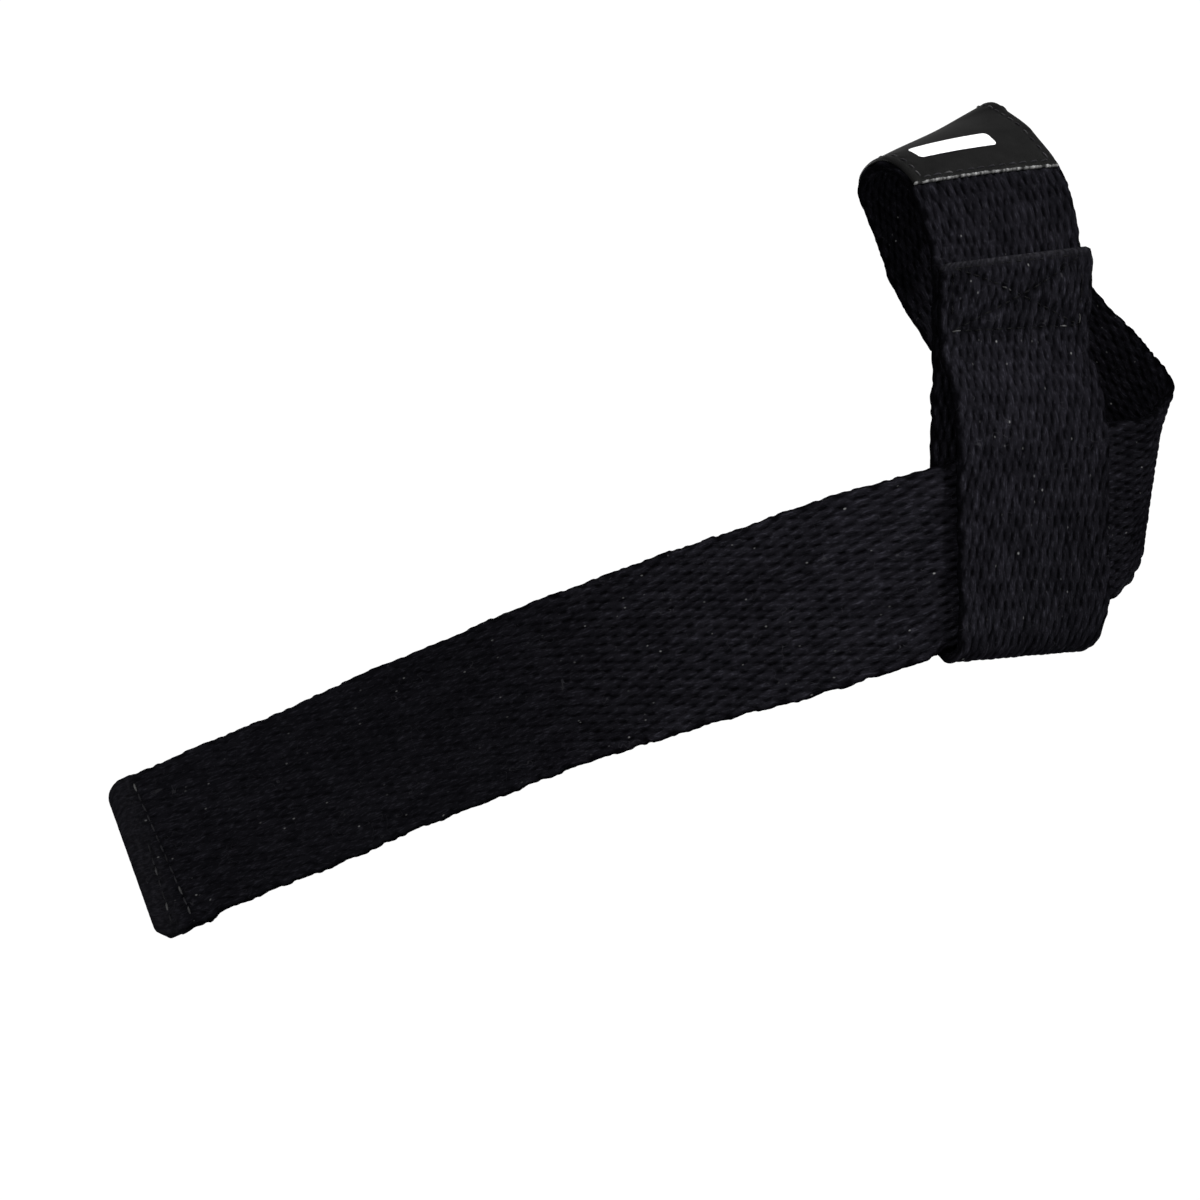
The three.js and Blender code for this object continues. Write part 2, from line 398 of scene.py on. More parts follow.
def press(across, along, rows):
    """How much the stitching presses the cloth: up to 1 on a row, most at its needle holes."""
    pressed = np.zeros(np.broadcast(across, along).shape)
    for start, end in rows:
        row = np.subtract(end, start)
        share = ((across - start[0]) * row[0] + (along - start[1]) * row[1]) / (row @ row)
        share = np.clip(share, 0.0, 1.0)
        gap = np.hypot(across - start[0] - share * row[0], along - start[1] - share * row[1])
        turns = round(np.hypot(row[0], row[1]) / STITCH_PITCH) * share
        depth = PRESS_MEAN + PRESS_SWING * np.cos(2 * np.pi * turns)
        pressed = np.maximum(pressed, hump(gap, PRESS_WIDTH) * depth)
    return pressed


def float_lean(along, face):
    """How far a float leans across in its own length, in columns: most on the free end."""
    if face == 1:
        return INNER_LEAN
    near = smooth_step(marks["side"], marks["crest"], along)
    far = smooth_step(marks["tail_slope"], marks["tail_middle"], along)
    lean = STRAND_LEAN + (TAIL_NEAR_LEAN - STRAND_LEAN) * near
    return lean + (TAIL_FAR_LEAN - TAIL_NEAR_LEAN) * far


def weave(across, along, face):
    """Height of the floats on one face, and a chance number for each float.
    A float swells over the ends of its neighbours, so only a short slit is left at its own ends."""
    place = (across + FLAT_WIDTH / 2) / FLAT_WIDTH * COLUMNS
    own = np.clip(np.floor(place), 0, COLUMNS - 1)
    height = np.zeros(np.broadcast(across, along).shape)
    luck = np.zeros_like(height)
    for step in (-1, 0, 1):
        column = own + step
        inside = (column >= 0) & (column < COLUMNS)
        drift = stray(COLUMN_STRAY, column, COLUMN_SEED + face)
        drift = drift + DRIFT_SIZE * np.sin(along / DRIFT_LENGTH + column * DRIFT_TURN)
        phase = along / FLOAT_LENGTH + 0.5 * np.mod(column + face, 2.0) + drift
        cell = np.floor(phase)
        draw = chance(column + FACE_SEED * face, cell)
        reach = 2.0 * (phase - cell) - 1.0
        reach = reach + stray(ALONG_STRAY, column + ALONG_SEEDS[0], cell + ALONG_SEEDS[1])
        lean = 0.5 * float_lean(along, face) * (LEAN_LEAST + LEAN_SPREAD * draw)
        aside = place - column - 0.5 + lean * reach
        aside = aside + stray(ASIDE_STRAY, column + ASIDE_SEEDS[0], cell + ASIDE_SEEDS[1])
        half = FLOAT_HALF * (HALF_LEAST + HALF_SPREAD * draw)
        bulge = 1.0 - (aside / half) ** 2 - np.abs(reach / FLOAT_END) ** FLOAT_END_POWER
        dome = np.clip(bulge, 0.0, 1.0) ** FLOAT_DOME_POWER
        level = dome * (LEVEL_LEAST + LEVEL_SPREAD * draw) * inside
        luck = np.where(level > height, draw, luck)
        height = np.maximum(height, level)
    slit = np.round(along / FLOAT_LENGTH + 0.5 * np.mod(own + face, 2.0))
    return np.maximum(height, SLIT_FILL * chance(own + SLIT_SEED, slit)), luck


def sway(along, across):
    """Slow unevenness of used cloth, out of its plane, in millimetres."""
    share = across / (WEBBING_WIDTH / 2)
    return sum(
        height * np.sin(along / length + turn) * share**power
        for height, length, turn, power in SWAY_WAVES
    )


def edge_wander(along, side):
    """Unevenness of a selvedge across the cloth, in millimetres."""
    waves = sum(
        height * np.sin(along / length + turn * side) for height, length, turn in EDGE_WAVES
    )
    rhythm = np.cos(4 * math.pi * along / FLOAT_LENGTH + EDGE_RHYTHM_TURN * side)
    ripple = np.sin(along / LOW_RIPPLE_LENGTH + side) * (1.0 - side)
    tuft = chance(np.floor(along / TUFT_LENGTH), TUFT_SEED * side)
    return (
        waves
        + EDGE_RHYTHM * rhythm
        + LOW_RIPPLE * ripple
        + TUFT_SIZE * (tuft - TUFT_MEAN)
    )


# Cloth coordinates are millimetres on this scale, with the inner face set apart from the outer
UV_SCALE = 0.01
INNER_FACE_APART = 50.0


def mesh_object(name, vertices, faces, points=None, uv=None):
    """A mesh object from vertices in millimetres, with number lists for its points and a UV map."""
    mesh = bpy.data.meshes.new(name)
    mesh.from_pydata((np.asarray(vertices) * MM).tolist(), [], faces)
    for key, values in (points or {}).items():
        attribute = mesh.attributes.new(key, "FLOAT", "POINT")
        attribute.data.foreach_set("value", np.asarray(values, np.float32))
    if uv is not None:
        layer = mesh.uv_layers.new(name="cloth")
        corners = np.empty(len(mesh.loops), np.int32)
        mesh.loops.foreach_get("vertex_index", corners)
        layer.data.foreach_set("uv", np.asarray(uv, np.float32)[corners].ravel())
    mesh.polygons.foreach_set("use_smooth", np.ones(len(mesh.polygons), bool))
    mesh.update()
    piece = bpy.data.objects.new(name, mesh)
    bpy.context.scene.collection.objects.link(piece)
    return piece


def ring_faces(rings, count):
    """Quads between rings of points, and a cap at each end."""
    ring = np.arange(rings - 1)[:, None] * count
    corner = np.arange(count)[None, :]
    following = (corner + 1) % count
    quads = np.stack(
        [ring + corner, ring + following, ring + count + following, ring + count + corner], axis=-1
    ).reshape(-1, 4)
    last = (rings - 1) * count
    return quads.tolist() + [list(range(count - 1, -1, -1)), list(range(last, last + count))]


def ring_outline():
    """Distances across the webbing round one ring, and its side: 1 outside and -1 inside."""
    face_count = COLUMNS * POINTS_PER_COLUMN + 1
    face = np.linspace(-FLAT_WIDTH / 2, FLAT_WIDTH / 2, face_count)
    turn = np.pi * (np.arange(SELVEDGE_POINTS) + 1) / (SELVEDGE_POINTS + 1)
    edge = FLAT_WIDTH / 2 + (WEBBING_WIDTH - FLAT_WIDTH) / 2 * np.sin(turn)
    across = np.concatenate([face, edge, face[::-1], -edge])
    outer = np.ones(face_count)
    return across, np.concatenate([outer, np.cos(turn), -outer, -np.cos(turn)])


def webbing_piece(name, frames, shape, lengths, calm, taper, relief, fuzz, rows_out, rows_in):
    """A band of webbing with its weave in relief on both faces and round selvedges.
    calm is 0 where the cloth is held flat, taper thins a finished end, relief is the share of
    the weave's height, fuzz is how worn the cloth is, and rows of stitches press the two faces."""
    ring_across, side = ring_outline()
    is_face = np.abs(side) == 1.0
    is_out = side > 0
    along = np.asarray(lengths)[:, None]
    across = np.broadcast_to(ring_across, (len(lengths), len(ring_across)))
    height_out, luck_out = weave(across, along, 0)
    height_in, luck_in = weave(across, along, 1)
    pressed = np.where(is_out, press(across, along, rows_out), press(across, along, rows_in))
    height = np.where(is_out, height_out, height_in) * is_face * (1.0 - PRESS_FLATTENS * pressed)
    luck = np.where(is_out, luck_out, luck_in)
    near_edge = smooth_step(FLAT_WIDTH / 2 - SELVEDGE_REACH, FLAT_WIDTH / 2, np.abs(across))
    edge_side = np.sign(across)
    moved = across + near_edge * edge_side * edge_wander(along, edge_side)
    edge_swell = 1.0 + SELVEDGE_SWELL * np.abs(np.sin(2 * np.pi * along / FLOAT_LENGTH))
    share = relief[:, None]
    raised = share * height + (1.0 - share) * FLAT_LIFT * is_face
    half = CORE_HALF * np.where(is_face, 1.0, edge_swell) + FLOAT_HEIGHT * raised
    out = side * (half - PRESS_DEPTH * pressed * is_face) * taper[:, None]
    out = out + sway(along, across) * calm[:, None]
    ring_frames = tuple(table[:, None, :] for table in frames)
    ring_shape = tuple(values[:, None] for values in shape)
    vertices = lay(ring_frames, ring_shape, moved, out).reshape(-1, 3)
    faces = ring_faces(len(lengths), len(ring_across))
    worn = np.broadcast_to(fuzz[:, None], across.shape)
    # the lift also sets the cloth's colour: painted shade, darker where the cloth lies lower, so on
    # the selvedges too
    points = {"lift": raised.ravel(), "luck": luck.ravel(), "fuzz": worn.ravel()}
    uv_across = across + INNER_FACE_APART * (~is_out)
    uv = np.stack([uv_across, np.broadcast_to(along, across.shape)], axis=-1)
    return mesh_object(name, vertices, faces, points, uv.reshape(-1, 2) * UV_SCALE)


CALM_REACH = 12.0
EYE_MARGIN = 4.0
JOIN_INSET = 6.0
HELD = [
    (0.0, marks["label_end"] + LABEL_LENGTH),
    (marks["eye_right"] - EYE_MARGIN, marks["eye_left"] + EYE_MARGIN),
]
under_label = marks["top"]
in_eye = marks["eye_left"] - JOIN_INSET


def calm_between(lengths, spans):
    """1 where the cloth is free, and 0 inside the spans where it is held flat."""
    free = np.ones_like(lengths)
    for start, end in spans:
        held = smooth_step(start - CALM_REACH, start, lengths)
        held = held * (1.0 - smooth_step(end, end + CALM_REACH, lengths))
        free = np.minimum(free, 1.0 - held)
    return free


def steps_between(start, end):
    """Lengths from start to end at the step of the weave."""
    count = int(round((end - start) / RING_STEP))
    return np.linspace(start, end, count + 1)


# The eye, with the strand up to the label: its cut end is thinner, flatter and fuzzy
TAB_END_SHARE = 0.5
TAB_END_SPAN = (-0.3, 0.9)
TAB_RELIEF_SHARE = 0.5
TAB_RELIEF_SPAN = (0.0, 4.0)
TAB_FUZZ = 0.7
TAB_FUZZ_REACH = 1.1
eye_lengths = steps_between(0.0, under_label)
strap_eye = webbing_piece(
    "strap_eye",
    frames=whole.frames(eye_lengths),
    shape=cloth_shape(eye_lengths),
    lengths=eye_lengths,
    calm=calm_between(eye_lengths, HELD),
    taper=rise_from(TAB_END_SHARE, *TAB_END_SPAN, eye_lengths),
    relief=rise_from(TAB_RELIEF_SHARE, *TAB_RELIEF_SPAN, eye_lengths),
    fuzz=TAB_FUZZ * hump(eye_lengths, TAB_FUZZ_REACH),
    rows_out=[],
    rows_in=TAB_ROWS,
)

# The wrap over the top, down the back and round the side into the eye
wrap_lengths = steps_between(under_label, in_eye)
strap_wrap = webbing_piece(
    "strap_wrap",
    frames=whole.frames(wrap_lengths),
    shape=cloth_shape(wrap_lengths),
    lengths=wrap_lengths,
    calm=calm_between(wrap_lengths, HELD),
    taper=np.ones_like(wrap_lengths),
    relief=np.ones_like(wrap_lengths),
    fuzz=np.zeros_like(wrap_lengths),
    rows_out=[],
    rows_in=[],
)

# The free end, turned under at its hem, with flatter and fuzzier cloth there
HEM_RADIUS = 1.14
HEM_FACE = 0.97
HEM_FACE_SPAN = (20.0, 8.0)
HEM_SHIFT = -0.1
HEM_SPREAD = 0.6
HEM_SPREAD_SPAN = (1.5, 3.5)
HEM_TURN_STEPS = 12
CORNER_STEPS = 16
UNDER_CORNER = 2.2
UNDER_END_SHARE = 0.3
UNDER_END_SPAN = (-1.0, 0.4)
HEM_RELIEF = 0.12
FAR_RELIEF = 0.3
FAR_RELIEF_SPAN = (2.0, 6.0)
NEAR_RELIEF = 0.45
NEAR_RELIEF_SPAN = (75.0, 125.0)
HEM_FUZZ = 0.3
HEM_FUZZ_SPAN = (5.0, 8.0)
turn_start = whole.total - HEM_RADIUS
corner_start = turn_start - TAIL_HIGH_CORNER
corner_lengths = np.linspace(corner_start, turn_start, CORNER_STEPS + 1)
tail_lengths = np.concatenate([steps_between(in_eye, corner_start), corner_lengths[1:]])
tail_frames = whole.frames(tail_lengths)
end_place, end_along, end_width, end_outward = (table[-1] for table in tail_frames)
turn_angles = np.pi * (np.arange(HEM_TURN_STEPS - 1) + 1) / HEM_TURN_STEPS
turn_back = HEM_RADIUS * (np.cos(turn_angles)[:, None] - 1.0)
turn_ahead = HEM_RADIUS * np.sin(turn_angles)[:, None]
turn_place = end_place + end_outward * turn_back + end_along * turn_ahead
turn_outward = (
    end_outward * np.cos(turn_angles)[:, None] + end_along * np.sin(turn_angles)[:, None]
)
turn_along = np.broadcast_to(end_along, turn_place.shape)
turn_width = np.broadcast_to(end_width, turn_place.shape)
corner_steps = np.linspace(0.0, TAIL_HIGH_CORNER, CORNER_STEPS)
hem_steps = np.concatenate([corner_steps[:-1], steps_between(TAIL_HIGH_CORNER, HEM_LENGTH)])
under_frames = whole.frames(tail_lengths[-1] - hem_steps)
under_place, under_along, under_width, under_outward = under_frames
under_place = under_place - under_outward * 2.0 * HEM_RADIUS + under_width * HEM_SHIFT
hem_frames = (
    np.vstack([tail_frames[0], turn_place, under_place]),
    np.vstack([tail_frames[1], turn_along, under_along]),
    np.vstack([tail_frames[2], turn_width, under_width]),
    np.vstack([tail_frames[3], turn_outward, -under_outward]),
)
near_hem = HEM_FACE * smooth_step(
    turn_start - HEM_FACE_SPAN[0], turn_start - HEM_FACE_SPAN[1], tail_lengths
)
laid_lengths = np.concatenate(
    [
        tail_lengths - near_hem,
        whole.total - (HEM_RADIUS + HEM_FACE) * (1.0 - np.sin(turn_angles)),
        tail_lengths[-1] - HEM_FACE - hem_steps,
    ]
)
hem_along = np.concatenate(
    [
        tail_lengths,
        tail_lengths[-1] + HEM_RADIUS * turn_angles,
        tail_lengths[-1] + HEM_RADIUS * np.pi + hem_steps,
    ]
)
under_end = hem_along[-1]
under_cut = corner_cut(under_end - hem_along, UNDER_CORNER)
from_turn = np.abs(hem_along - turn_start - HEM_RADIUS * np.pi / 2)
past_hem = smooth_step(
    HEM_LENGTH + HEM_SPREAD_SPAN[0], HEM_LENGTH + HEM_SPREAD_SPAN[1], from_turn
)
hem_spread = HEM_SPREAD * (1.0 - past_hem)
near_end = smooth_step(under_end + UNDER_END_SPAN[0], under_end + UNDER_END_SPAN[1], hem_along)
far_relief = FAR_RELIEF * smooth_step(*FAR_RELIEF_SPAN, from_turn)
near_relief = NEAR_RELIEF * smooth_step(*NEAR_RELIEF_SPAN, from_turn)
tail_slant, tail_high, tail_low, tail_cup = cloth_shape(laid_lengths)
strap_tail = webbing_piece(
    "strap_tail",
    frames=hem_frames,
    shape=(tail_slant, tail_high + under_cut, tail_low + under_cut - hem_spread, tail_cup),
    lengths=hem_along,
    calm=calm_between(hem_along, HELD + [(tail_lengths[-1] - HEM_LENGTH, under_end)]),
    taper=UNDER_END_SHARE + (1.0 - UNDER_END_SHARE) * (1.0 - near_end),
    relief=HEM_RELIEF + far_relief + near_relief,
    fuzz=HEM_FUZZ * (1.0 - smooth_step(*HEM_FUZZ_SPAN, from_turn)),
    rows_out=HEM_ROWS,
    rows_in=[],
)

# The label, with its border pressed down by the stitching
LABEL_LIFT = 0.16
LABEL_OUT = WEBBING_THICKNESS / 2 + LABEL_LIFT
LABEL_SINK = 0.05
LABEL_STEP = 0.4
SIDE_INSET = 2.0
END_INSET = 1.2
SIDE_GROOVE_REACH = 0.75
END_GROOVE_REACH = 0.6
GROOVE_DEPTH = 0.2
GROOVE_MEAN = 0.7
GROOVE_SWING = 0.5
BORDER_REACH = 0.7
BORDER_DEPTH = 0.3
SWELL_SPAN = (2.0, 9.0)
SWELL_HEIGHT = 0.12
label_start = marks["label_end"]
label_lengths = np.linspace(0.0, LABEL_LENGTH, int(LABEL_LENGTH / LABEL_STEP) + 1)
label_across = np.linspace(-LABEL_WIDTH / 2, LABEL_WIDTH / 2, int(LABEL_WIDTH / LABEL_STEP) + 1)


def label_height(across, length):
    """How far the label's upper face stands from its bed: it dips at the stitching and border."""
    from_side = LABEL_WIDTH / 2 - np.abs(across)
    from_end = np.minimum(length, LABEL_LENGTH - length)
    from_border = np.minimum(from_side, from_end)
    side_holes = GROOVE_MEAN + GROOVE_SWING * np.cos(2 * np.pi * length / STITCH_PITCH)
    end_holes = GROOVE_MEAN + GROOVE_SWING * np.cos(2 * np.pi * across / STITCH_PITCH)
    side_groove = hump(from_side - SIDE_INSET, SIDE_GROOVE_REACH) * side_holes
    end_groove = hump(from_end - END_INSET, END_GROOVE_REACH) * end_holes
    border = 1.0 - smooth_step(0.0, BORDER_REACH, from_border)
    swell = smooth_step(*SWELL_SPAN, from_border)
    height = LABEL_THICKNESS - GROOVE_DEPTH * np.maximum(side_groove, end_groove)
    return height - BORDER_DEPTH * border + SWELL_HEIGHT * swell


def on_label(lengths, across, out):
    """A point on the label's upper face, by the length from its lower border."""
    height = LABEL_OUT + label_height(across, lengths) + out
    return on_cloth(label_start + lengths, across, height)


def label_piece():
    """The label as a closed sheet over the strand."""
    length, across = np.meshgrid(label_lengths, label_across, indexing="ij")
    top = on_label(length, across, np.zeros_like(length))
    bed = np.full(length.shape, LABEL_OUT - LABEL_SINK)
    bottom = on_cloth(label_start + length, across, bed)
    rows, columns = length.shape
    index = np.arange(rows * columns).reshape(rows, columns)
    quads = np.stack(
        [index[:-1, :-1], index[:-1, 1:], index[1:, 1:], index[1:, :-1]], axis=-1
    ).reshape(-1, 4)
    under = quads[:, ::-1] + rows * columns
    rim = np.concatenate([index[0, :-1], index[:-1, -1], index[-1, :0:-1], index[:0:-1, 0]])
    following = np.roll(rim, -1)
    walls = np.stack(
        [following, rim, rim + rows * columns, following + rows * columns], axis=-1
    )
    vertices = np.vstack([top.reshape(-1, 3), bottom.reshape(-1, 3)])
    uv = np.stack([across, length], axis=-1).reshape(-1, 2) * UV_SCALE
    faces = quads.tolist() + under.tolist() + walls.tolist()
    return mesh_object("label_patch", vertices, faces, uv=np.vstack([uv, uv]))


label_patch = label_piece()

# Stitches: short bowed lengths of thread along rows on the cloth
LABEL_THREAD_RADIUS = 0.2
TAB_THREAD_RADIUS = 0.18
HEM_THREAD_RADIUS = 0.24
THREAD_SIDES = 7
THREAD_RINGS = 7
THREAD_TIP_ANGLE = 0.12
THREAD_TIP_POWER = 0.35
STITCH_STRAY = 0.16
STITCH_LEAST = 0.92
STITCH_SPREAD = 0.2
STITCH_TURN = 0.36
STITCH_SINK = 0.16
STITCH_BOW = 0.3
STITCH_BOW_POWER = 0.7
TAB_STITCH_SINK = 0.05
HEM_STITCH_LIFT = 0.15


def stitch_points(surface, start, end):
    """Places of stitches along a row from one pair of numbers to another on a surface."""
    start = np.asarray(start, float)
    end = np.asarray(end, float)
    span = np.linalg.norm(end - start)
    direction = (end - start) / span
    count = max(1, int(round(span / STITCH_PITCH)))
    bow = np.sin(np.linspace(0.0, np.pi, THREAD_RINGS))
    ends = np.linspace(-0.5, 0.5, THREAD_RINGS)
    stitches = []
    for index in range(count):
        middle = span * (index + 0.5 + stray(STITCH_STRAY, index, span)) / count
        longer = STITCH_LEAST + STITCH_SPREAD * chance(index + STITCH_LENGTH_SEED, span)
        half = 0.5 * STITCH_LENGTH * longer
        reach = np.linspace(middle - half, middle + half, THREAD_RINGS)
        turn = ends * STITCH_TURN * (chance(index + STITCH_TURN_SEED, span) - 0.5)
        across = start[0] + direction[0] * reach - direction[1] * turn
        length = start[1] + direction[1] * reach + direction[0] * turn
        stitches.append(surface(length, across, -STITCH_SINK + STITCH_BOW * bow**STITCH_BOW_POWER))
    return stitches


def thread_piece(name, radius, surface, seam_rows):
    """All stitches of a seam's rows as one mesh of short tubes."""
    stitches = [points for row in seam_rows for points in stitch_points(surface, *row)]
    vertices = []
    faces = []
    tones = []
    angles = 2 * np.pi * np.arange(THREAD_SIDES) / THREAD_SIDES
    tips = np.linspace(THREAD_TIP_ANGLE, np.pi - THREAD_TIP_ANGLE, THREAD_RINGS)
    waist = np.sin(tips) ** THREAD_TIP_POWER
    for number, points in enumerate(stitches):
        along = unit(np.gradient(points, axis=0))
        flat = np.cross(points[-1] - points[0], points[THREAD_RINGS // 2] - points[0])
        first = unit(np.cross(along, flat))
        second = np.cross(along, first)
        first_way = first[:, None, :] * np.cos(angles)[None, :, None]
        second_way = second[:, None, :] * np.sin(angles)[None, :, None]
        tube = points[:, None, :] + radius * waist[:, None, None] * (first_way + second_way)
        base = number * THREAD_RINGS * THREAD_SIDES
        vertices.append(tube.reshape(-1, 3))
        tones.append(np.full(THREAD_RINGS * THREAD_SIDES, chance(number, STITCH_TONE_SEED)))
        for face in ring_faces(THREAD_RINGS, THREAD_SIDES):
            faces.append([base + corner for corner in face])
    return mesh_object(name, np.vstack(vertices), faces, {"luck": np.concatenate(tones)})


def on_tab(lengths, across, out):
    """A point on the outer face of the sewn tab, which is the webbing's other face there."""
    return on_cloth(lengths, across, -(CORE_HALF - TAB_STITCH_SINK) - out)


def on_tail(lengths, across, out):
    """A point on the free end's outer face."""
    return on_cloth(lengths, across, CORE_HALF + HEM_STITCH_LIFT * FLOAT_HEIGHT + out)


side_row = LABEL_WIDTH / 2 - SIDE_INSET
last_row = LABEL_LENGTH - END_INSET
LABEL_ROWS = [
    ((-side_row, END_INSET), (side_row, END_INSET)),
    ((-side_row, last_row), (side_row, last_row)),
    ((-side_row, END_INSET), (-side_row, last_row)),
    ((side_row, END_INSET), (side_row, last_row)),
]
label_thread = thread_piece("label_thread", LABEL_THREAD_RADIUS, on_label, LABEL_ROWS)
tab_thread = thread_piece("tab_thread", TAB_THREAD_RADIUS, on_tab, TAB_ROWS)
hem_thread = thread_piece("hem_thread", HEM_THREAD_RADIUS, on_tail, HEM_ROWS)

# Tints of the materials
PLAIN = (1.0, 1.0, 1.0)
BLACK_TINT = (1.0, 0.97, 1.26)
WORN_TINT = (1.0, 0.98, 1.14)

# Noise on the cloth
# columns: scale across, scale along, detail, turn in degrees
PATTERNS = {
    "cloud": (8.0, 6.0, 3.0, 0.0),
    # painted glints: thin streaks where the cloth's colour is brightened
    "painted_glint": (260.0, 55.0, 2.0, 8.0),
    "hair": (28.0, 22.0, 1.0, 0.0),
    "hair_patch": (17.0, 12.0, 1.0, 30.0),
    "worn": (130.0, 90.0, 3.0, 0.0),
    "fibres": (700.0, 240.0, 4.0, 14.0),
    "label_cloud": (22.0, 22.0, 4.0, 0.0),
    "label_ragged": (120.0, 60.0, 3.0, 0.0),
    "label_edge": (75.0, 20.0, 3.0, 0.0),
}
PATTERN_ROUGHNESS = 0.6
MILLIMETRES = (100.0, 100.0)
BAND_DETAIL = 2.0

# Where a new stop of a ramp starts, and the colour sockets of a mix node
NEW_STOP = 0.5
MIX_INPUTS = (0, 6, 7)
MIX_RESULT = 2


def new_material(name):
    """A node material, with its tree and its main shader."""
    material = bpy.data.materials.new(name)
    material.use_nodes = True
    tree = material.node_tree
    return material, tree, tree.nodes["Principled BSDF"]


def set_gloss(shader, roughness, specular):
    """Roughness and specular level of a shader."""
    shader.inputs["Roughness"].default_value = roughness
    shader.inputs["Specular IOR Level"].default_value = specular


def add_node(tree, kind, **values):
    """A node with its settings."""
    node = tree.nodes.new(kind)
    for key, value in values.items():
        setattr(node, key, value)
    return node


def point_number(tree, name):
    """The numbers that a mesh holds for its points under a name."""
    return add_node(tree, "ShaderNodeAttribute", attribute_name=name).outputs["Fac"]


def math_node(tree, operation, first, second=None):
    """A math node on links or numbers."""
    node = add_node(tree, "ShaderNodeMath", operation=operation)
    for index, value in enumerate((first, second)):
        if value is None:
            continue
        if isinstance(value, (int, float)):
            node.inputs[index].default_value = value
        else:
            tree.links.new(value, node.inputs[index])
    return node.outputs[0]


def clamped(tree, value):
    """A link held between 0 and 1."""
    node = add_node(tree, "ShaderNodeClamp")
    tree.links.new(value, node.inputs[0])
    return node.outputs[0]


def scaled_uv(tree, scale, turn=0.0):
    """Cloth coordinates, turned by degrees and scaled across and along."""
    source = add_node(tree, "ShaderNodeUVMap", uv_map="cloth")
    mapping = add_node(tree, "ShaderNodeMapping")
    mapping.inputs["Rotation"].default_value = (0.0, 0.0, math.radians(turn))
    mapping.inputs["Scale"].default_value = (*scale, 1.0)
    tree.links.new(source.outputs[0], mapping.inputs["Vector"])
    return mapping.outputs[0]


def noise(tree, pattern):
    """Noise of a named pattern on the cloth coordinates."""
    scale_across, scale_along, detail, turn = PATTERNS[pattern]
    node = add_node(tree, "ShaderNodeTexNoise")
    node.inputs["Scale"].default_value = 1.0
    node.inputs["Detail"].default_value = detail
    node.inputs["Roughness"].default_value = PATTERN_ROUGHNESS
    coordinates = scaled_uv(tree, (scale_across, scale_along), turn)
    tree.links.new(coordinates, node.inputs["Vector"])
    return node.outputs["Fac"]


def bands(tree, scale, distortion, turn):
    """Fine bands on the cloth coordinates, turned by degrees."""
    node = add_node(tree, "ShaderNodeTexWave", wave_type="BANDS", bands_direction="X")
    node.inputs["Scale"].default_value = scale
    node.inputs["Distortion"].default_value = distortion
    node.inputs["Detail"].default_value = BAND_DETAIL
    tree.links.new(scaled_uv(tree, MILLIMETRES, turn), node.inputs["Vector"])
    return node.outputs["Fac"]


def grey(value, tint=PLAIN):
    """A grey of this strength, with a tint."""
    return tuple(value * part for part in tint)


def greys(stops, tint=PLAIN):
    """Stops of a position and a strength, as stops of a position and a tinted grey."""
    return [(position, grey(value, tint)) for position, value in stops]


def ramp(tree, source, stops):
    """A colour ramp from a link."""
    node = add_node(tree, "ShaderNodeValToRGB")
    elements = node.color_ramp.elements
    while len(elements) < len(stops):
        elements.new(NEW_STOP)
    for element, (position, colour) in zip(elements, stops):
        element.position = position
        element.color = (*colour, 1.0)
    tree.links.new(source, node.inputs["Fac"])
    return node.outputs["Color"]


def mix_colour(tree, share, first, second, blend="MIX"):
    """Two colours mixed by a share."""
    node = add_node(tree, "ShaderNodeMix", data_type="RGBA", blend_type=blend)
    for index, value in zip(MIX_INPUTS, (share, first, second)):
        socket = node.inputs[index]
        if isinstance(value, (int, float)):
            socket.default_value = value
        elif isinstance(value, tuple):
            socket.default_value = (*value, 1.0)
        else:
            tree.links.new(value, socket)
    return node.outputs[MIX_RESULT]


def multiplied(tree, first, second):
    """One colour times another."""
    return mix_colour(tree, 1.0, first, second, "MULTIPLY")


def add_bump(tree, shader, height, strength, distance):
    """Bump on a shader from a height link."""
    bump = add_node(tree, "ShaderNodeBump")
    bump.inputs["Strength"].default_value = strength
    bump.inputs["Distance"].default_value = distance
    tree.links.new(height, bump.inputs["Height"])
    tree.links.new(bump.outputs["Normal"], shader.inputs["Normal"])


# Tones of the webbing, as positions and greys, and the sizes of its hairs and lint. The tones by
# height are the cloth's own black on the floats' tops and painted shade below: the lower the cloth
# lies, the darker it is painted, so the gaps between floats, the stitching's dents and the
# selvedges are painted darker
TONE_AND_SHADE_BY_HEIGHT = [(0.2, 0.0011), (0.5, 0.0022), (0.66, 0.0031), (1.0, 0.0043)]
FLOAT_TONES = [(0.0, 0.84), (1.0, 1.18)]
CLOUD_TONES = [(0.3, 0.92), (0.7, 1.08)]
# painted glints: up to threefold brighter colour on thin streaks, standing in for light glinting
# off the fibres
PAINTED_GLINT_TONES = [(0.52, 1.0), (0.74, 3.2)]
WORN_TONES = [(0.45, 0.0054), (0.72, 0.023)]
HAIR_GREY = 0.011
HAIR_MIDDLE = 0.5
HAIR_HALF_WIDTH = 0.0025
HAIR_PATCH_FROM = 0.57
LINT_GREY = 0.11
LINT_SCALE = (62.0, 38.0)
LINT_FROM = 0.66
LINT_GAIN = 3.4
LINT_SIZE = 0.14
LINT_SHARPNESS = 10.0
PLY_SHARE = 0.12


def lint_specks(tree):
    """1 on small rare specks of lint."""
    cells = add_node(tree, "ShaderNodeTexVoronoi")
    cells.inputs["Scale"].default_value = 1.0
    tree.links.new(scaled_uv(tree, LINT_SCALE), cells.inputs["Vector"])
    rare = math_node(tree, "SUBTRACT", cells.outputs["Color"], LINT_FROM)
    rare = math_node(tree, "MULTIPLY", rare, LINT_GAIN)
    small = math_node(tree, "SUBTRACT", LINT_SIZE, cells.outputs["Distance"])
    small = math_node(tree, "MULTIPLY", small, LINT_SHARPNESS)
    return math_node(tree, "MULTIPLY", clamped(tree, rare), clamped(tree, small))


